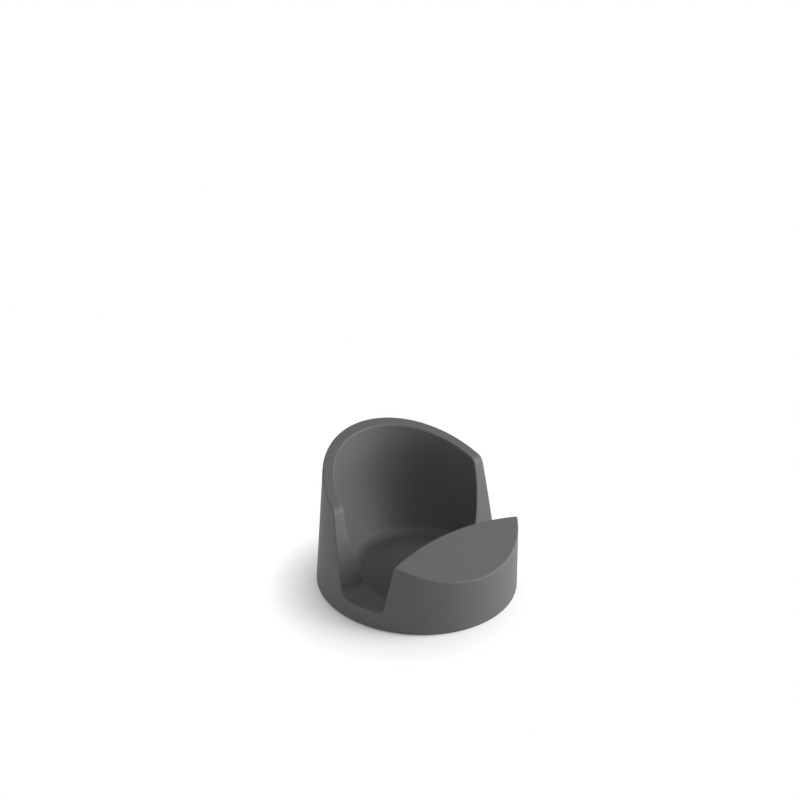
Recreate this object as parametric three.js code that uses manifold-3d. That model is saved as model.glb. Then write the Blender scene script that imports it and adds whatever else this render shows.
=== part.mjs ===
// Upright utensil rest: a tapered round cup cut by one slanted plane. A crescent pocket for the head of a
// kitchen tool lies between a high half-cup at the back and a low block at the front, and a notch opens it
// through each side wall. The moulding is cored out from below, weighted and closed by a cover with feet.
// Millimetres and degrees, +Z up, front towards -Y, origin on the table under the middle of the base.

import * as THREE from 'three';
import { mergeVertices } from 'three/addons/utils/BufferGeometryUtils.js';
import Module from 'manifold-3d';

// Outer form
const BASE_RADIUS = 55;
const OUTER_DRAFT = 2.75;
const BOTTOM_BEVEL = 0.8;
const CUT_HEIGHT = 51.9;
const CUT_ANGLE = 24.2;

// Pocket, half-cup side: a bowl whose wall curves in and rounds into a flat floor. Its plan is round at the
// back and stretched towards the front
const RIM_WALL = 6.6;
const BOWL_WALL_CURVE = 105;
const BOWL_CURVE_TOP = 52;
const BOWL_FILLET = 8;
const BOWL_FLOOR = 6.4;
const BOWL_STRETCH = 1.75;

// Pocket, front side: the block's back face bulges towards the bowl and leans forward
const FACE_DISTANCE = 20.75;
const FACE_RADIUS = 154;
const FACE_LEAN = 8.9;
const FACE_FILLET = 2.8;

// Notches through the side walls
const NOTCH_FLOOR = 10.05;
const NOTCH_BACK = 4.05;
const NOTCH_LEAN = 13.9;
const NOTCH_FLOOR_RADIUS = 6.6;
const NOTCH_TOP_RADIUS = 6;

// Shell of the moulding, its bosses and ribs
const SKIN = 2.4;
const CORE_CEILING = 44;
const BOSS_RADIUS = 3.6;
const BOSS_INSET = 11;
const FRONT_BOSS_ANGLE = 34;
const BACK_BOSS_ANGLE = 148;
const RIB_SPACING = 26;
const RIB_THICKNESS = 2;

// Pieces under and inside the body
const CLEARANCE = 0.3;
const COVER_RECESS = 0.4;
const COVER_THICKNESS = 2.6;
const BALLAST_HEIGHT = 12;
const BALLAST_WIDTH = 80;
const SCREW_RADIUS = 1.5;
const SCREW_LENGTH = 10;
const SCREW_POINT = 1.5;
const SCREW_HEAD_RADIUS = 2.8;
const SCREW_HEAD_HEIGHT = 1.2;
const SCREW_HEAD_RECESS = 0.2;
const PAD_RADIUS = 6;
const PAD_INSET = 11;
const PAD_SEAT_DEPTH = 1.2;
const PAD_STANDOFF = 0.6;
const PAD_BEVEL = 0.4;

// Fineness of the curves, and the small lap of one cut over the next
const ROUND_SEGMENTS = 96;
const FACE_SEGMENTS = 180;
const SMALL_SEGMENTS = 24;
const ARC_STEPS = 6;
const LAP = 0.05;

// Heights and reaches that follow from the sizes above
const draftSlope = Math.tan(THREE.MathUtils.degToRad(OUTER_DRAFT));
const cutSlope = Math.tan(THREE.MathUtils.degToRad(CUT_ANGLE));
const faceLean = THREE.MathUtils.degToRad(FACE_LEAN);
const reach = 2 * BASE_RADIUS;
const bowlRadius = BASE_RADIUS - BOWL_CURVE_TOP * draftSlope - RIM_WALL;
const sky = CUT_HEIGHT + cutSlope * BASE_RADIUS + BASE_RADIUS / 2;
const coverTop = COVER_RECESS + COVER_THICKNESS;
const ballastBottom = coverTop + CLEARANCE;
const ballastTop = ballastBottom + BALLAST_HEIGHT;
const headSeat = COVER_RECESS + SCREW_HEAD_RECESS + SCREW_HEAD_HEIGHT;

const wasm = await Module();
wasm.setup();

// Solid from a closed three.js geometry: shared corners are merged and faces of no area are dropped
function solidFrom(geometry) {
  geometry.deleteAttribute('normal');
  geometry.deleteAttribute('uv');
  const merged = mergeVertices(geometry);
  const index = merged.index.array;
  const triangles = [];
  for (let i = 0; i < index.length; i += 3) {
    const [a, b, c] = index.slice(i, i + 3);
    if (a !== b && b !== c && c !== a) triangles.push(a, b, c);
  }
  return new wasm.Manifold(new wasm.Mesh({
    numProp: 3,
    vertProperties: new Float32Array(merged.attributes.position.array),
    triVerts: new Uint32Array(triangles),
  }));
}

// Points of an arc in profile, from one angle to another in radians
function arcPoints(centre, radius, from, to) {
  const points = [];
  for (let i = 0; i <= ARC_STEPS; i += 1) {
    const angle = from + (to - from) * i / ARC_STEPS;
    points.push(new THREE.Vector2(centre.x + radius * Math.cos(angle), centre.y + radius * Math.sin(angle)));
  }
  return points;
}

// Profile of radius and height, from the lower end of the axis to its upper end, turned about Z
function turned(profile, segments) {
  return new THREE.LatheGeometry(profile, segments).rotateX(Math.PI / 2);
}

function revolve(profile, segments) {
  return solidFrom(turned(profile, segments));
}

function cylinder(radius, bottom, top) {
  const profile = [
    new THREE.Vector2(0, bottom),
    new THREE.Vector2(radius, bottom),
    new THREE.Vector2(radius, top),
    new THREE.Vector2(0, top),
  ];
  return revolve(profile, SMALL_SEGMENTS);
}

function box(width, depth, bottom, top) {
  const geometry = new THREE.BoxGeometry(width, depth, top - bottom);
  return solidFrom(geometry.translate(0, 0, (bottom + top) / 2));
}

// Place on a circle about the axis, at an angle from the front
function onCircle(radius, angle) {
  const turn = THREE.MathUtils.degToRad(angle);
  return new THREE.Vector3(radius * Math.sin(turn), -radius * Math.cos(turn), 0);
}

// Tapered outer form, uncut. An inset draws it in by that thickness and lets it run out below the base
function outerForm(inset) {
  const radiusAt = (height) => BASE_RADIUS - height * draftSlope - inset * Math.hypot(1, draftSlope);
  return revolve([
    new THREE.Vector2(0, -inset),
    new THREE.Vector2(radiusAt(-inset) - BOTTOM_BEVEL, -inset),
    new THREE.Vector2(radiusAt(BOTTOM_BEVEL - inset), BOTTOM_BEVEL - inset),
    new THREE.Vector2(radiusAt(sky), sky),
    new THREE.Vector2(0, sky),
  ], ROUND_SEGMENTS);
}

// Everything above the slanted cut, lowered by a depth square to the cut
function aboveCut(depth) {
  const geometry = new THREE.BoxGeometry(2 * reach, 2 * reach, 2 * reach);
  geometry.translate(0, 0, reach - depth);
  geometry.rotateX(THREE.MathUtils.degToRad(CUT_ANGLE));
  return solidFrom(geometry.translate(0, 0, CUT_HEIGHT));
}

// Bowl of the half-cup, grown by a thickness: the wall's arc and the fillet keep their centres, and the
// front half is stretched along Y
function bowl(growth) {
  const wallCurve = new THREE.Vector2(bowlRadius - BOWL_WALL_CURVE, BOWL_CURVE_TOP);
  const filletHeight = BOWL_FLOOR + BOWL_FILLET;
  const span = Math.sqrt((BOWL_WALL_CURVE - BOWL_FILLET) ** 2 - (BOWL_CURVE_TOP - filletHeight) ** 2);
  const fillet = new THREE.Vector2(wallCurve.x + span, filletHeight);
  const meeting = Math.atan2(filletHeight - BOWL_CURVE_TOP, span);
  const form = turned([
    new THREE.Vector2(0, BOWL_FLOOR - growth),
    ...arcPoints(fillet, BOWL_FILLET + growth, -Math.PI / 2, meeting),
    ...arcPoints(wallCurve, BOWL_WALL_CURVE + growth, meeting, 0).slice(1),
    new THREE.Vector2(bowlRadius + growth, sky),
    new THREE.Vector2(0, sky),
  ], ROUND_SEGMENTS);
  const { position } = form.attributes;
  for (let i = 0; i < position.count; i += 1) {
    if (position.getY(i) < 0) position.setY(i, position.getY(i) * BOWL_STRETCH);
  }
  return solidFrom(form);
}

// Back face of the front block in profile about its own axis: it leans away from the pocket
function faceRadiusAt(height, inset) {
  return FACE_RADIUS - (height - NOTCH_FLOOR) * Math.tan(faceLean) - inset / Math.cos(faceLean);
}

// Front block: a large cone whose back face leans forward, drawn in by a thickness
function frontBlock(inset) {
  const block = revolve([
    new THREE.Vector2(0, -reach),
    new THREE.Vector2(faceRadiusAt(-reach, inset), -reach),
    new THREE.Vector2(faceRadiusAt(sky, inset), sky),
    new THREE.Vector2(0, sky),
  ], FACE_SEGMENTS);
  return block.translate([0, -FACE_DISTANCE - FACE_RADIUS, 0]);
}

// Fillet along the foot of the front block, where it meets a level floor. It laps both by a little, so that
// its arc cuts them cleanly
function frontFoot(floorHeight, growth) {
  const floor = floorHeight - growth;
  const radius = FACE_FILLET + growth;
  const height = floor + radius - LAP;
  const centre = new THREE.Vector2(faceRadiusAt(height, growth) + (radius - LAP) / Math.cos(faceLean), height);
  const arc = arcPoints(centre, radius, 1.5 * Math.PI, Math.PI + faceLean);
  const foot = revolve([
    new THREE.Vector2(0, floor - radius),
    new THREE.Vector2(centre.x, floor - radius),
    ...arc,
    new THREE.Vector2(0, arc.at(-1).y),
  ], FACE_SEGMENTS);
  return foot.translate([0, -FACE_DISTANCE - FACE_RADIUS, 0]);
}

// Notch through both side walls, grown by a thickness: a floor, a back edge that leans back, a round inner
// corner below and a round outer corner where the edge meets the slanted cut
function notch(growth) {
  const lean = THREE.MathUtils.degToRad(NOTCH_LEAN);
  const cut = THREE.MathUtils.degToRad(CUT_ANGLE);
  const floor = NOTCH_FLOOR - growth;
  const edge = new THREE.Vector2(Math.sin(lean), Math.cos(lean));
  const ahead = new THREE.Vector2(-Math.cos(lean), Math.sin(lean));
  const start = new THREE.Vector2(-NOTCH_BACK, NOTCH_FLOOR).addScaledVector(ahead, -growth);

  const lowRadius = NOTCH_FLOOR_RADIUS + growth;
  const lowRise = (floor + lowRadius * (1 - ahead.y) - start.y) / edge.y;
  const low = start.clone().addScaledVector(edge, lowRise).addScaledVector(ahead, lowRadius);

  const highRadius = NOTCH_TOP_RADIUS - growth;
  const intoBody = new THREE.Vector2(Math.sin(cut), -Math.cos(cut));
  const behind = start.clone().addScaledVector(ahead, -highRadius);
  const depth = behind.clone().sub(new THREE.Vector2(0, CUT_HEIGHT)).dot(intoBody);
  const highRise = (highRadius + growth - LAP - depth) / edge.dot(intoBody);
  const high = behind.addScaledVector(edge, highRise);
  const brow = high.x - highRadius * Math.sin(cut);

  const outline = new THREE.Shape();
  outline.moveTo(-reach, sky);
  outline.lineTo(-reach, floor);
  outline.absarc(low.x, low.y, lowRadius, -Math.PI / 2, -lean, false);
  outline.absarc(high.x, high.y, highRadius, Math.PI - lean, Math.PI / 2 + cut, true);
  outline.lineTo(brow, sky);
  const prism = new THREE.ExtrudeGeometry(outline, {
    depth: 2 * reach,
    bevelEnabled: false,
    curveSegments: ARC_STEPS,
  });
  prism.translate(0, 0, -reach);
  const along = new THREE.Matrix4().makeBasis(
    new THREE.Vector3(0, 1, 0),
    new THREE.Vector3(0, 0, 1),
    new THREE.Vector3(1, 0, 0),
  );
  return solidFrom(prism.applyMatrix4(along));
}

// The whole pocket with its two notches, grown by a thickness
function pocket(growth) {
  const sides = notch(growth).subtract(frontFoot(NOTCH_FLOOR, growth));
  const middle = bowl(growth).subtract(frontFoot(BOWL_FLOOR, growth));
  return sides.add(middle).subtract(frontBlock(growth));
}

// The form without its core, drawn in by a thickness on every side
function filledForm(inset) {
  return outerForm(inset).subtract(aboveCut(inset)).subtract(pocket(inset));
}

const bossPlaces = [FRONT_BOSS_ANGLE, BACK_BOSS_ANGLE, -BACK_BOSS_ANGLE, -FRONT_BOSS_ANGLE]
  .map((angle) => onCircle(BASE_RADIUS - BOSS_INSET, angle));
const padPlaces = [0, 90, 180, 270].map((angle) => onCircle(BASE_RADIUS - PAD_INSET, angle));

// The moulded body: the filled form less its core, with screw bosses and two ribs that hold the weight
// down. Bosses and ribs end inside the skin
function bodyShell() {
  const core = filledForm(SKIN).subtract(box(2 * reach, 2 * reach, CORE_CEILING, 2 * sky));
  const within = filledForm(SKIN / 2);
  let shell = filledForm(0).subtract(core);
  for (const place of bossPlaces) {
    const boss = cylinder(BOSS_RADIUS, coverTop + CLEARANCE, sky).translate(place.toArray());
    shell = shell.add(boss.intersect(within));
  }
  const block = within.intersect(frontBlock(SKIN / 2));
  for (const side of [-1, 1]) {
    const plate = box(RIB_THICKNESS, 2 * reach, ballastTop + CLEARANCE, sky);
    shell = shell.add(plate.translate([side * RIB_SPACING / 2, 0, 0]).intersect(block));
  }
  const pilotTop = headSeat + SCREW_LENGTH + SCREW_RADIUS;
  for (const place of bossPlaces) {
    shell = shell.subtract(cylinder(SCREW_RADIUS + CLEARANCE, 0, pilotTop).translate(place.toArray()));
  }
  return shell;
}

// Disc that closes the core, with a counterbored hole for each screw and a round seat for each foot
function baseCover() {
  let cover = outerForm(SKIN + CLEARANCE).intersect(box(2 * reach, 2 * reach, COVER_RECESS, coverTop));
  for (const place of bossPlaces) {
    const hole = cylinder(SCREW_RADIUS + CLEARANCE, 0, sky);
    const counterbore = cylinder(SCREW_HEAD_RADIUS + CLEARANCE, 0, headSeat + CLEARANCE);
    cover = cover.subtract(hole.add(counterbore).translate(place.toArray()));
  }
  for (const place of padPlaces) {
    const seat = cylinder(PAD_RADIUS + CLEARANCE, 0, COVER_RECESS + PAD_SEAT_DEPTH);
    cover = cover.subtract(seat.translate(place.toArray()));
  }
  return cover;
}

// D-shaped weight that fills the foot of the front block, with holes for the two front bosses
function ballastWeight() {
  const gap = SKIN + CLEARANCE;
  let weight = outerForm(gap)
    .intersect(frontBlock(gap))
    .intersect(box(BALLAST_WIDTH, 2 * reach, ballastBottom, ballastTop));
  for (const place of bossPlaces) {
    weight = weight.subtract(cylinder(BOSS_RADIUS + CLEARANCE, 0, sky).translate(place.toArray()));
  }
  return weight;
}

// Pan-head screw, head down, with a short conical point
function coverScrew() {
  const headBottom = headSeat - SCREW_HEAD_HEIGHT;
  const tip = headSeat + SCREW_LENGTH;
  return revolve([
    new THREE.Vector2(0, headBottom),
    new THREE.Vector2(SCREW_HEAD_RADIUS, headBottom),
    new THREE.Vector2(SCREW_HEAD_RADIUS, headSeat),
    new THREE.Vector2(SCREW_RADIUS, headSeat),
    new THREE.Vector2(SCREW_RADIUS, tip - SCREW_POINT),
    new THREE.Vector2(0, tip),
  ], SMALL_SEGMENTS);
}

// Soft round foot with a bevelled lower edge
function footPad() {
  const top = COVER_RECESS + PAD_SEAT_DEPTH - CLEARANCE;
  return revolve([
    new THREE.Vector2(0, -PAD_STANDOFF),
    new THREE.Vector2(PAD_RADIUS - PAD_BEVEL, -PAD_STANDOFF),
    new THREE.Vector2(PAD_RADIUS, PAD_BEVEL - PAD_STANDOFF),
    new THREE.Vector2(PAD_RADIUS, top),
    new THREE.Vector2(0, top),
  ], SMALL_SEGMENTS);
}

// Named mesh of a solid, in its own copy of a finish
function meshOf(name, solid, finish) {
  const { vertProperties, triVerts } = solid.getMesh();
  const geometry = new THREE.BufferGeometry();
  geometry.setAttribute('position', new THREE.BufferAttribute(vertProperties, 3));
  geometry.setIndex(new THREE.BufferAttribute(triVerts, 1));
  geometry.computeVertexNormals();
  const mesh = new THREE.Mesh(geometry, new THREE.MeshStandardMaterial(finish));
  mesh.name = name;
  return mesh;
}

const charcoal = { color: 0x4a4a4b, roughness: 0.62, metalness: 0 };
const coverGrey = { color: 0x3c3c3d, roughness: 0.7, metalness: 0 };
const castIron = { color: 0x6d6f72, roughness: 0.55, metalness: 1 };
const zincSteel = { color: 0xb4b6b8, roughness: 0.35, metalness: 1 };
const softGrey = { color: 0x2b2b2c, roughness: 0.9, metalness: 0 };

const utensilRest = new THREE.Group();
utensilRest.name = 'utensil_rest';
utensilRest.position.z = PAD_STANDOFF;
utensilRest.add(meshOf('body_shell', bodyShell(), charcoal));
utensilRest.add(meshOf('base_cover', baseCover(), coverGrey));
utensilRest.add(meshOf('ballast_weight', ballastWeight(), castIron));
bossPlaces.forEach((place, i) => {
  const screw = meshOf(`cover_screw_${i + 1}`, coverScrew(), zincSteel);
  screw.position.copy(place);
  utensilRest.add(screw);
});
padPlaces.forEach((place, i) => {
  const pad = meshOf(`foot_pad_${i + 1}`, footPad(), softGrey);
  pad.position.copy(place);
  utensilRest.add(pad);
});

export default utensilRest;
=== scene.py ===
"""Looks of an upright utensil rest, built around its CAD frame.

The moulded body is rebuilt as one fine skin with rounded edges. The screws and feet are modelled anew,
and the cover and the weight are softened copies of their solids. Metres, +Z up, front towards -Y.
"""

import math

import bmesh
import bpy
import numpy as np
from mathutils import Matrix, Vector


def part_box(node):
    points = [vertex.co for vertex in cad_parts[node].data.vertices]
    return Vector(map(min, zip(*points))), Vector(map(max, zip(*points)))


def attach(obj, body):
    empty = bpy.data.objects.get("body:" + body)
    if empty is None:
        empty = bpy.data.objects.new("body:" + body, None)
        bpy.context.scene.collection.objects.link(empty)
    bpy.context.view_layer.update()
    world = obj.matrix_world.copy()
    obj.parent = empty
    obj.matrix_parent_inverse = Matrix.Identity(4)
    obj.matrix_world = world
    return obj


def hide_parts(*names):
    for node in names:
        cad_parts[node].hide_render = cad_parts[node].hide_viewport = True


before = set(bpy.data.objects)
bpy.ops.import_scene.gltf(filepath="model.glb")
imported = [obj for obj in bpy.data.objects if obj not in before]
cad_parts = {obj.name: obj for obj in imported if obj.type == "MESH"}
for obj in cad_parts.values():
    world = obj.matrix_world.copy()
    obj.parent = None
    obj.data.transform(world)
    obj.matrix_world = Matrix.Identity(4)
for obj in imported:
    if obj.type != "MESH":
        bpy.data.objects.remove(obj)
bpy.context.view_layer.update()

MM = 0.001

# Outer form of the body, cut by one slanted plane
BASE_RADIUS = 55 * MM
OUTER_DRAFT = math.radians(2.75)
BOTTOM_ROUND = 0.8 * MM
CUT_HEIGHT = 51.9 * MM
CUT_ANGLE = math.radians(24.2)

# Pocket: the bowl of the half-cup, stretched towards the front, and the back face of the front block
RIM_WALL = 6.6 * MM
BOWL_WALL_CURVE = 105 * MM
BOWL_CURVE_TOP = 52 * MM
BOWL_FILLET = 8 * MM
BOWL_FLOOR = 6.4 * MM
BOWL_STRETCH = 1.75
FACE_DISTANCE = 20.75 * MM
FACE_RADIUS = 154 * MM
FACE_LEAN = math.radians(8.9)
FACE_FILLET = 2.8 * MM

# Notches through the side walls
NOTCH_FLOOR = 10.05 * MM
NOTCH_BACK = 4.05 * MM
NOTCH_LEAN = math.radians(13.9)
NOTCH_FLOOR_RADIUS = 6.6 * MM
NOTCH_TOP_RADIUS = 6 * MM

# Skin of the body and the roundness that the mould leaves on its edges
SKIN = 2.4 * MM
EDGE_ROUND = 0.6 * MM

# Fineness of the body's mesh, and how its points are moved on to the exact form
VOXEL = 0.5 * MM
SURFACE_BAND = 1.3 * MM
SEAT_MARGIN = 0.4 * MM
PROBE = 0.02 * MM
MOVES_ONTO_BODY = 2
LEAST_SQUARED_SLOPE = 0.1
RELAX_ROUNDS = 6
KEPT_SHARE = 0.25

# Copies of CAD solids: corners this close are joined, flat faces made whole and sharp edges rounded
WELD_DISTANCE = 0.001 * MM
FLAT_ANGLE = math.radians(0.5)
SHARP_ANGLE = math.radians(30)
PIECE_ROUND = 0.25 * MM
PIECE_ROUND_STEPS = 3
CIRCULAR_PROFILE = 0.5

# Screws and feet come in sets of this many, with this many steps in their rounds
SET_SIZE = 4
ROUND_STEPS = 5

# Feet
FOOT_ROUND = 0.4 * MM
FOOT_SEGMENTS = 64

# Screws
SCREW_RADIUS = 1.5 * MM
SCREW_HEAD_HEIGHT = 1.2 * MM
SCREW_POINT = 1.5 * MM
POINT_RINGS = 4
HEAD_ROUND = 0.5 * MM
CROSS_HALF_WIDTH = 0.3 * MM
CROSS_LENGTH = 1.35 * MM
CROSS_SLOPE = 0.2 * MM
CROSS_DEPTH = 0.8 * MM
THREAD_PITCH = 1.1 * MM
THREAD_DEPTH = 0.25
THREAD_SHARE = 0.7
THREAD_RINGS = 8
SCREW_SEGMENTS = 40

# Camera: where it stands, where it looks and how it is turned about its view, from the photograph
CAMERA_CENTRE = Vector((0, 0, 40.6 * MM))
CAMERA_DISTANCE = 600 * MM
CAMERA_AZIMUTH = math.radians(-41.40)
CAMERA_ELEVATION = math.radians(29.69)
LOOK_AZIMUTH = math.radians(-40.06)
LOOK_DOWN = math.radians(23.95)
CAMERA_ROLL = math.radians(1.77)
CAMERA_LENS = 50.07

# Studio: a pale floor that fades to white, even surroundings, and softboxes with angles in degrees
FLOOR_REACH = 6
FLOOR_CELLS = 4
FLOOR_COLOUR = (0.9, 0.9, 0.9, 1)
WHITE = (1, 1, 1, 1)
FADE_CENTRE = (-14 * MM, 0, 0)
FADE_START = 36 * MM
FADE_END = 70 * MM
WORLD_LIGHT = 0.46
LIGHT_CENTRE = Vector((0, 0, 35 * MM))
LIGHT_DISTANCE = 1.3
LIGHT_SIZE = 0.9
SOFTBOXES = (
    {"name": "key", "azimuth": 50, "elevation": 16, "power": 24.5},
    {"name": "fill", "azimuth": -105, "elevation": 10, "power": 3.8},
)

# Finishes: the values between which noise mostly lies, its detail and the size of patches in the gloss
NOISE_LOW = 0.3
NOISE_HIGH = 0.7
CLOUD_DETAIL = 3
GLOSS_DETAIL = 2
GRAIN_DETAIL = 2
GLOSS_SIZE = 2.5 * MM

# Height of the body's base above the table
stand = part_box("body_shell")[0].z


def round_max(a, b, radius):
    """The larger of two distances, with the convex edge between them rounded."""
    corner = np.hypot(np.maximum(a + radius, 0), np.maximum(b + radius, 0))
    return np.minimum(np.maximum(a, b), -radius) + corner


def round_min(a, b, radius):
    """The smaller of two distances, with the inner corner between them rounded."""
    return -round_max(-a, -b, radius)


def cross(ax, ay, bx, by):
    """Cross product of two flat vectors, positive where the second lies to the left of the first."""
    return ax * by - ay * bx


def outside_bowl(r, z):
    """Distance from the bowl of the half-cup, negative inside it."""
    bowl_radius = BASE_RADIUS - BOWL_CURVE_TOP * math.tan(OUTER_DRAFT) - RIM_WALL
    wall_x = bowl_radius - BOWL_WALL_CURVE
    fillet_z = BOWL_FLOOR + BOWL_FILLET
    drop = BOWL_CURVE_TOP - fillet_z
    span = math.sqrt((BOWL_WALL_CURVE - BOWL_FILLET) ** 2 - drop ** 2)
    meeting = math.atan2(-drop, span)
    wall = np.hypot(r - wall_x, z - BOWL_CURVE_TOP) - BOWL_WALL_CURVE
    fillet = np.hypot(r - wall_x - span, z - fillet_z) - BOWL_FILLET
    low = np.where(r > wall_x + span, fillet, BOWL_FLOOR - z)
    curved = np.where(np.arctan2(z - BOWL_CURVE_TOP, r - wall_x) > meeting, wall, low)
    return np.where(z > BOWL_CURVE_TOP, r - bowl_radius, curved)


def outside_half_cup(y, z, above_cut):
    """Distance from what stands behind the notches or below their floor, without the bowl."""
    ahead_y, ahead_z = -math.cos(NOTCH_LEAN), math.sin(NOTCH_LEAN)
    edge_y, edge_z = math.sin(NOTCH_LEAN), math.cos(NOTCH_LEAN)
    cut_y, cut_z = -math.sin(CUT_ANGLE), math.cos(CUT_ANGLE)
    in_notch = (y + NOTCH_BACK) * ahead_y + (z - NOTCH_FLOOR) * ahead_z

    # Round outer corner at the top of the notch's edge
    behind_y = -NOTCH_BACK - ahead_y * NOTCH_TOP_RADIUS
    behind_z = NOTCH_FLOOR - ahead_z * NOTCH_TOP_RADIUS
    depth = -(behind_y * cut_y + (behind_z - CUT_HEIGHT) * cut_z)
    rise = (depth - NOTCH_TOP_RADIUS) / (edge_y * cut_y + edge_z * cut_z)
    top_y, top_z = y - behind_y - rise * edge_y, z - behind_z - rise * edge_z
    in_corner = (cross(ahead_y, ahead_z, top_y, top_z) < 0) & (cross(top_y, top_z, cut_y, cut_z) < 0)
    corner = np.hypot(top_y, top_z) - NOTCH_TOP_RADIUS
    wall = np.where(in_corner, corner, np.maximum(in_notch, above_cut))

    # Round inner corner where the edge meets the floor
    rise = NOTCH_FLOOR_RADIUS * (1 - ahead_z) / edge_z
    low_y = y + NOTCH_BACK - rise * edge_y - NOTCH_FLOOR_RADIUS * ahead_y
    low_z = z - NOTCH_FLOOR - NOTCH_FLOOR_RADIUS
    in_corner = (cross(0, -1, low_y, low_z) > 0) & (cross(low_y, low_z, -ahead_y, -ahead_z) > 0)
    corner = NOTCH_FLOOR_RADIUS - np.hypot(low_y, low_z)
    return np.where(in_corner, corner, np.minimum(wall, z - NOTCH_FLOOR))


def outside_body(points):
    """Distance of points from the moulded form without its core, negative inside it."""
    x, y, z = points[:, 0], points[:, 1], points[:, 2] - stand
    r = np.hypot(x, y)
    outer = (r - BASE_RADIUS + z * math.tan(OUTER_DRAFT)) * math.cos(OUTER_DRAFT)
    above_cut = (z - CUT_HEIGHT - y * math.tan(CUT_ANGLE)) * math.cos(CUT_ANGLE)
    bowl = outside_bowl(np.hypot(x, np.where(y < 0, y / BOWL_STRETCH, y)), z)
    half_cup = round_max(-bowl, outside_half_cup(y, z, above_cut), EDGE_ROUND)
    from_axis = np.hypot(x, y + FACE_DISTANCE + FACE_RADIUS)
    face = (from_axis - FACE_RADIUS + (z - NOTCH_FLOOR) * math.tan(FACE_LEAN)) * math.cos(FACE_LEAN)
    block = round_max(face, above_cut, EDGE_ROUND)
    inner = round_min(half_cup, block, FACE_FILLET)
    return round_max(round_max(outer, -z, BOTTOM_ROUND), inner, EDGE_ROUND)


def body_slope(points):
    """Gradient of that distance, which points out of the body."""
    slope = np.empty_like(points)
    for axis in range(3):
        step = np.zeros(3)
        step[axis] = PROBE
        slope[:, axis] = (outside_body(points + step) - outside_body(points - step)) / (2 * PROBE)
    return slope


def onto_body(points):
    """Points moved square on to the body's surface."""
    for _ in range(MOVES_ONTO_BODY):
        slope = body_slope(points)
        share = outside_body(points) / np.maximum((slope ** 2).sum(1), LEAST_SQUARED_SLOPE)
        points = points - slope * share[:, None]
    return points


def skin_points(points):
    """Which points belong to the outer skin, and not to the core or to the seat of the cover."""
    seat_radius = BASE_RADIUS - SKIN + SEAT_MARGIN
    in_seat = (np.hypot(points[:, 0], points[:, 1]) < seat_radius) & (points[:, 2] - stand < SKIN)
    return (np.abs(outside_body(points)) < SURFACE_BAND) & ~in_seat


def mesh_points(mesh):
    """Places of a mesh's points, one to a row."""
    points = np.empty(len(mesh.vertices) * 3)
    mesh.vertices.foreach_get("co", points)
    return points.reshape(-1, 3)


def set_mesh_points(mesh, points):
    """Moves a mesh's points to new places."""
    mesh.vertices.foreach_set("co", points.ravel())
    mesh.update()


def relax_on_body(mesh):
    """Evens out the skin's points along the exact surface and leaves the core as it is."""
    points = mesh_points(mesh)
    moving = skin_points(points)
    edges = np.empty(len(mesh.edges) * 2, int)
    mesh.edges.foreach_get("vertices", edges)
    first, second = edges.reshape(-1, 2).T
    count = np.bincount(edges, minlength=len(points))
    for _ in range(RELAX_ROUNDS):
        total = np.zeros_like(points)
        for axis in range(3):
            total[:, axis] += np.bincount(first, points[second, axis], len(points))
            total[:, axis] += np.bincount(second, points[first, axis], len(points))
        middle = (points + total / count[:, None]) / 2
        points[moving] = onto_body(middle[moving])
    set_mesh_points(mesh, points)


def modified_mesh(obj, kind, settings):
    """Gives an object the mesh that a modifier makes of it."""
    modifier = obj.modifiers.new(kind, kind)
    for name, value in settings.items():
        setattr(modifier, name, value)
    shown = obj.evaluated_get(bpy.context.evaluated_depsgraph_get())
    mesh = bpy.data.meshes.new_from_object(shown)
    obj.modifiers.remove(modifier)
    obj.data = mesh
    return mesh


def new_object(name, data):
    """New object in the scene with a mesh, a light or a camera."""
    obj = bpy.data.objects.new(name, data)
    bpy.context.scene.collection.objects.link(obj)
    return obj


def finished_mesh(name, grid):
    """Plain mesh of an edited one, which is used up."""
    mesh = bpy.data.meshes.new(name)
    grid.to_mesh(mesh)
    grid.free()
    return mesh


def smooth_mesh(name, grid):
    """Plain mesh of an edited one, shaded smooth up to its sharp edges."""
    for face in grid.faces:
        face.smooth = True
    mesh = finished_mesh(name, grid)
    mesh.set_sharp_from_angle(angle=SHARP_ANGLE)
    return mesh


def welded_copy(node):
    """Mesh of a CAD node with its shared corners joined, to be edited."""
    grid = bmesh.new()
    grid.from_mesh(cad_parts[node].data)
    bmesh.ops.remove_doubles(grid, verts=grid.verts, dist=WELD_DISTANCE)
    return grid


def place(piece, slot, *nodes):
    """Fixes a piece to the part in the place of CAD nodes."""
    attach(piece, "root")
    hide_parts(*nodes)


def build_body():
    """The moulded body: a fine skin on the exact form, over the core of the CAD solid."""
    body = new_object("moulded_body", finished_mesh("moulded_body", welded_copy("body_shell")))
    mesh = modified_mesh(body, "REMESH", {"mode": "VOXEL", "voxel_size": VOXEL})
    relax_on_body(mesh)
    mesh = modified_mesh(body, "DECIMATE", {"ratio": KEPT_SHARE})
    points = mesh_points(mesh)
    skin = skin_points(points)
    points[skin] = onto_body(points[skin])
    set_mesh_points(mesh, points)
    mesh.polygons.foreach_set("use_smooth", np.ones(len(mesh.polygons), bool))
    normals = np.empty(len(points) * 3)
    mesh.vertex_normals.foreach_get("vector", normals)
    normals = normals.reshape(-1, 3)
    slope = body_slope(points[skin])
    normals[skin] = slope / np.linalg.norm(slope, axis=1)[:, None]
    mesh.normals_split_custom_set_from_vertices(normals)
    place(body, "body", "body_shell")
    return body


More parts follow.
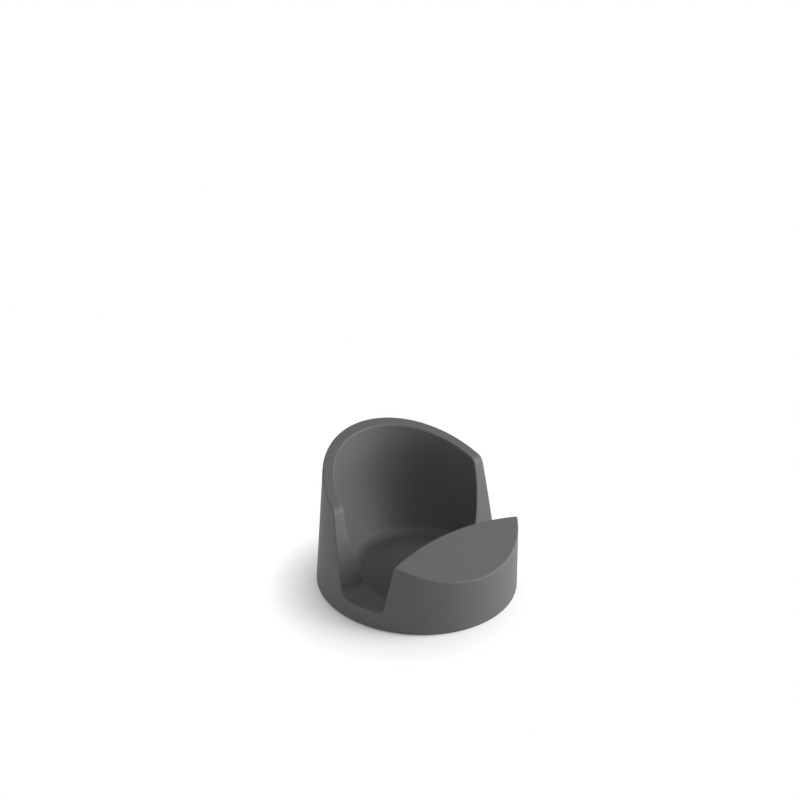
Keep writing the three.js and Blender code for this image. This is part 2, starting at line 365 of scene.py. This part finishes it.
def softened_copy(name, node):
    """New piece on a CAD solid, with its flat faces whole again and its sharp edges rounded."""
    grid = welded_copy(node)
    bmesh.ops.dissolve_limit(grid, angle_limit=FLAT_ANGLE, verts=grid.verts, edges=grid.edges)
    sharp = [edge for edge in grid.edges if edge.calc_face_angle(0) > SHARP_ANGLE]
    bmesh.ops.bevel(
        grid,
        geom=sharp,
        offset=PIECE_ROUND,
        segments=PIECE_ROUND_STEPS,
        profile=CIRCULAR_PROFILE,
        affect="EDGES",
        clamp_overlap=True,
    )
    return new_object(name, smooth_mesh(name, grid))


def close_with_fan(grid, ring, height):
    """Closes an end of a turned mesh with faces about a point on the axis."""
    middle = grid.verts.new((0, 0, height))
    for i, vert in enumerate(ring):
        grid.faces.new((middle, ring[i - 1], vert))


def sink_cross(grid, ring, height):
    """Closes the head of a screw with a flat face and the driver's cross sunk into it."""
    loops = []
    for wider, level in ((CROSS_SLOPE, height), (0, height + CROSS_DEPTH)):
        side, tip = CROSS_HALF_WIDTH + wider, CROSS_LENGTH + wider
        arm = ((side, -side), (tip, -side), (tip, side))
        turns = ((1, 0), (0, 1), (-1, 0), (0, -1))
        corners = [(x * c - y * s, x * s + y * c) for c, s in turns for x, y in arm]
        loops.append([grid.verts.new((x, y, level)) for x, y in corners])
    mouth, floor = loops
    for i in range(len(mouth)):
        grid.faces.new((mouth[i - 1], mouth[i], floor[i], floor[i - 1]))
    grid.faces.new(floor)
    edges = [grid.edges.get((loop[i - 1], loop[i])) for loop in (ring, mouth) for i in range(len(loop))]
    bmesh.ops.triangle_fill(grid, use_beauty=True, edges=edges)


def turned_mesh(name, profile, segments, shape=None, close_start=close_with_fan):
    """Closed mesh turned about Z from a profile of radius and height that starts and ends on the axis.
    A shape, if there is one, gives each point a new radius from its radius, height and angle."""
    grid = bmesh.new()
    rings = []
    for radius, height in profile[1:-1]:
        ring = []
        for i in range(segments):
            angle = 2 * math.pi * i / segments
            r = shape(radius, height, angle) if shape else radius
            ring.append(grid.verts.new((r * math.cos(angle), r * math.sin(angle), height)))
        rings.append(ring)
    for low, high in zip(rings, rings[1:]):
        for i in range(segments):
            grid.faces.new((low[i - 1], low[i], high[i], high[i - 1]))
    close_start(grid, rings[0], profile[0][1])
    close_with_fan(grid, rings[-1], profile[-1][1])
    bmesh.ops.recalc_face_normals(grid, faces=grid.faces)
    return smooth_mesh(name, grid)


def quarter_round(radius, height, reach, turn):
    """Profile points of a quarter circle that begins at an angle, in degrees, about a centre."""
    steps = [math.radians(turn + 90 * i / ROUND_STEPS) for i in range(ROUND_STEPS + 1)]
    return [(radius + reach * math.cos(t), height + reach * math.sin(t)) for t in steps]


def build_foot(number):
    """Soft round foot with rounded edges, in the seat of the cover."""
    node = f"foot_pad_{number}"
    low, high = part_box(node)
    radius = (high.x - low.x) / 2
    inner = radius - FOOT_ROUND
    profile = [(0, low.z), (inner / 2, low.z)]
    profile += quarter_round(inner, low.z + FOOT_ROUND, FOOT_ROUND, -90)
    profile += quarter_round(inner, high.z - FOOT_ROUND, FOOT_ROUND, 0)
    profile += [(inner / 2, high.z), (0, high.z)]
    name = f"soft_foot_{number}"
    foot = new_object(name, turned_mesh(name, profile, FOOT_SEGMENTS))
    foot.location = ((low.x + high.x) / 2, (low.y + high.y) / 2, 0)
    place(foot, "feet", node)
    return foot


def build_screw(number):
    """Pan-head screw, head down: a cross recess in the head and a coarse thread to the point."""
    node = f"cover_screw_{number}"
    low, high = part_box(node)
    head_radius = (high.x - low.x) / 2
    seat = low.z + SCREW_HEAD_HEIGHT
    point = high.z - SCREW_POINT

    def thread(radius, height, angle):
        if height <= seat:
            return radius
        phase = (height / THREAD_PITCH - angle / (2 * math.pi)) % 1
        ridge = max(0, 1 - abs(2 * phase - 1) / THREAD_SHARE)
        return radius * (1 - THREAD_DEPTH * (1 - ridge))

    profile = [(0, low.z)]
    profile += quarter_round(head_radius - HEAD_ROUND, low.z + HEAD_ROUND, HEAD_ROUND, -90)
    profile += [(head_radius, seat), (SCREW_RADIUS, seat)]
    rings = round((point - seat) / THREAD_PITCH * THREAD_RINGS)
    profile += [(SCREW_RADIUS, seat + (point - seat) * i / rings) for i in range(1, rings + 1)]
    for i in range(1, POINT_RINGS + 1):
        profile.append((SCREW_RADIUS * (1 - i / POINT_RINGS), point + SCREW_POINT * i / POINT_RINGS))
    name = f"pan_head_screw_{number}"
    screw = new_object(name, turned_mesh(name, profile, SCREW_SEGMENTS, thread, sink_cross))
    screw.location = ((low.x + high.x) / 2, (low.y + high.y) / 2, 0)
    place(screw, "screws", node)
    return screw


def outward(azimuth, elevation):
    """Direction out from the part, with azimuth 0 at the front and both angles in radians."""
    level = math.cos(elevation)
    return Vector((math.sin(azimuth) * level, -math.cos(azimuth) * level, math.sin(elevation)))


def add_camera():
    """Camera at the photograph's place, with its view and its slight roll."""
    ahead = -outward(LOOK_AZIMUTH, LOOK_DOWN)
    level = ahead.cross(Vector((0, 0, 1))).normalized()
    upright = level.cross(ahead)
    right = level * math.cos(CAMERA_ROLL) + upright * math.sin(CAMERA_ROLL)
    up = upright * math.cos(CAMERA_ROLL) - level * math.sin(CAMERA_ROLL)
    turn = Matrix((right, up, -ahead)).transposed().to_4x4()
    stand_point = CAMERA_CENTRE + CAMERA_DISTANCE * outward(CAMERA_AZIMUTH, CAMERA_ELEVATION)
    camera = new_object("camera", bpy.data.cameras.new("camera"))
    camera.data.lens = CAMERA_LENS
    camera.matrix_world = Matrix.Translation(stand_point) @ turn
    bpy.context.scene.camera = camera


def add_node(material, kind, inputs=None, **settings):
    """New shader node with its settings and inputs. An input is a plain value or another node's output."""
    tree = material.node_tree
    node = tree.nodes.new(kind)
    for name, value in settings.items():
        setattr(node, name, value)
    for name, value in (inputs or {}).items():
        if isinstance(value, bpy.types.NodeSocket):
            tree.links.new(value, node.inputs[name])
        else:
            node.inputs[name].default_value = value
    return node


def noise(material, size, detail):
    """Noise whose blotches have a real size, from 0 to 1."""
    where = add_node(material, "ShaderNodeTexCoord").outputs["Object"]
    inputs = {"Vector": where, "Scale": 1 / size, "Detail": detail}
    return add_node(material, "ShaderNodeTexNoise", inputs).outputs["Fac"]


def between(material, value, low, high):
    """Noise spread from a low to a high value."""
    inputs = {"Value": value, "From Min": NOISE_LOW, "From Max": NOISE_HIGH, "To Min": low, "To Max": high}
    return add_node(material, "ShaderNodeMapRange", inputs).outputs["Result"]


def rough_surface(name, grey, spread, cloud_size, roughness, grain_size, grain_depth, metallic=0):
    """Material with a faint cloudy shade, an uneven gloss and a fine grain."""
    material = bpy.data.materials.new(name)
    material.use_nodes = True
    shader = material.node_tree.nodes["Principled BSDF"]
    shader.inputs["Metallic"].default_value = metallic
    shade = between(material, noise(material, cloud_size, CLOUD_DETAIL), grey - spread, grey + spread)
    channels = {channel: shade for channel in ("Red", "Green", "Blue")}
    colour = add_node(material, "ShaderNodeCombineColor", channels).outputs["Color"]
    gloss = between(material, noise(material, GLOSS_SIZE, GLOSS_DETAIL), *roughness)
    grain = noise(material, grain_size, GRAIN_DETAIL)
    bump = add_node(material, "ShaderNodeBump", {"Height": grain, "Distance": grain_depth})
    links = material.node_tree.links
    links.new(colour, shader.inputs["Base Color"])
    links.new(gloss, shader.inputs["Roughness"])
    links.new(bump.outputs["Normal"], shader.inputs["Normal"])
    return material


def charcoal_plastic():
    """Fine matte moulding of the body."""
    return rough_surface(
        "charcoal_plastic",
        grey=0.075,
        spread=0.001,
        cloud_size=22 * MM,
        roughness=(0.6, 0.64),
        grain_size=0.25 * MM,
        grain_depth=0.008 * MM,
    )


def cover_plastic():
    """Darker, coarser moulding of the cover."""
    return rough_surface(
        "cover_plastic",
        grey=0.05,
        spread=0.002,
        cloud_size=15 * MM,
        roughness=(0.55, 0.7),
        grain_size=0.4 * MM,
        grain_depth=0.02 * MM,
    )


def cast_iron():
    """Bare cast metal of the weight."""
    return rough_surface(
        "cast_iron",
        grey=0.16,
        spread=0.04,
        cloud_size=6 * MM,
        roughness=(0.5, 0.7),
        grain_size=0.8 * MM,
        grain_depth=0.08 * MM,
        metallic=1,
    )


def zinc_steel():
    """Plated steel of the screws."""
    return rough_surface(
        "zinc_steel",
        grey=0.57,
        spread=0.05,
        cloud_size=1.5 * MM,
        roughness=(0.25, 0.42),
        grain_size=0.15 * MM,
        grain_depth=0.004 * MM,
        metallic=1,
    )


def soft_rubber():
    """Matte rubber of the feet."""
    return rough_surface(
        "soft_rubber",
        grey=0.03,
        spread=0.003,
        cloud_size=4 * MM,
        roughness=(0.75, 0.9),
        grain_size=0.2 * MM,
        grain_depth=0.01 * MM,
    )


def seen_by_eye(tree):
    """1 for what the camera, a reflection or a clear piece sees, and 0 for light on surfaces."""
    path = tree.nodes.new("ShaderNodeLightPath")
    total = path.outputs["Is Camera Ray"]
    for ray in ("Is Glossy Ray", "Is Transmission Ray"):
        add = tree.nodes.new("ShaderNodeMath")
        add.use_clamp = True
        tree.links.new(total, add.inputs[0])
        tree.links.new(path.outputs[ray], add.inputs[1])
        total = add.outputs["Value"]
    return total


def floor_paper():
    """Matte pale paper that fades to plain white away from the part."""
    material = bpy.data.materials.new("floor_paper")
    material.use_nodes = True
    tree = material.node_tree
    shader = tree.nodes["Principled BSDF"]
    shader.inputs["Base Color"].default_value = FLOOR_COLOUR
    shader.inputs["Roughness"].default_value = 1
    shader.inputs["Specular IOR Level"].default_value = 0
    where = add_node(material, "ShaderNodeNewGeometry").outputs["Position"]
    inputs = {0: where, 1: FADE_CENTRE}
    away = add_node(material, "ShaderNodeVectorMath", inputs, operation="DISTANCE").outputs["Value"]
    inputs = {"Value": away, "From Min": FADE_START, "From Max": FADE_END}
    fade = add_node(material, "ShaderNodeMapRange", inputs).outputs["Result"]
    inputs = {0: fade, 1: seen_by_eye(tree)}
    share = add_node(material, "ShaderNodeMath", inputs, operation="MULTIPLY").outputs["Value"]
    white = add_node(material, "ShaderNodeEmission", {"Color": WHITE}).outputs["Emission"]
    inputs = {0: share, 1: shader.outputs["BSDF"], 2: white}
    paper = add_node(material, "ShaderNodeMixShader", inputs).outputs["Shader"]
    tree.links.new(paper, tree.nodes["Material Output"].inputs["Surface"])
    return material


def add_floor():
    """Floor that keeps the part's shadow."""
    grid = bmesh.new()
    bmesh.ops.create_grid(grid, x_segments=FLOOR_CELLS, y_segments=FLOOR_CELLS, size=FLOOR_REACH)
    floor = new_object("floor", finished_mesh("floor", grid))
    floor.data.materials.append(floor_paper())


def add_world():
    """White surroundings to the eye, and an even, weaker light on the part."""
    world = bpy.data.worlds.new("studio")
    world.use_nodes = True
    bpy.context.scene.world = world
    tree = world.node_tree
    strength = tree.nodes.new("ShaderNodeMapRange")
    strength.inputs["To Min"].default_value = WORLD_LIGHT
    strength.inputs["To Max"].default_value = 1
    tree.links.new(seen_by_eye(tree), strength.inputs["Value"])
    background = tree.nodes["Background"]
    background.inputs["Color"].default_value = WHITE
    tree.links.new(strength.outputs["Result"], background.inputs["Strength"])


def add_softbox(name, azimuth, elevation, power):
    """Square area light that faces the part."""
    away = outward(math.radians(azimuth), math.radians(elevation))
    lamp = bpy.data.lights.new(name, "AREA")
    lamp.size = LIGHT_SIZE
    lamp.energy = power
    box = new_object(name, lamp)
    box.location = LIGHT_CENTRE + away * LIGHT_DISTANCE
    box.rotation_euler = away.to_track_quat("Z", "Y").to_euler()


def finish_with(piece, material):
    """Gives a piece one material all over."""
    piece.data.materials.clear()
    piece.data.materials.append(material)


add_camera()
add_floor()
add_world()
for softbox in SOFTBOXES:
    add_softbox(**softbox)

finish_with(build_body(), charcoal_plastic())
cover = softened_copy("closing_cover", "base_cover")
place(cover, "cover", "base_cover")
finish_with(cover, cover_plastic())
weight = softened_copy("cast_weight", "ballast_weight")
place(weight, "ballast", "ballast_weight")
finish_with(weight, cast_iron())
zinc = zinc_steel()
rubber = soft_rubber()
for number in range(1, SET_SIZE + 1):
    finish_with(build_screw(number), zinc)
    finish_with(build_foot(number), rubber)

bpy.context.scene.view_settings.view_transform = "Standard"
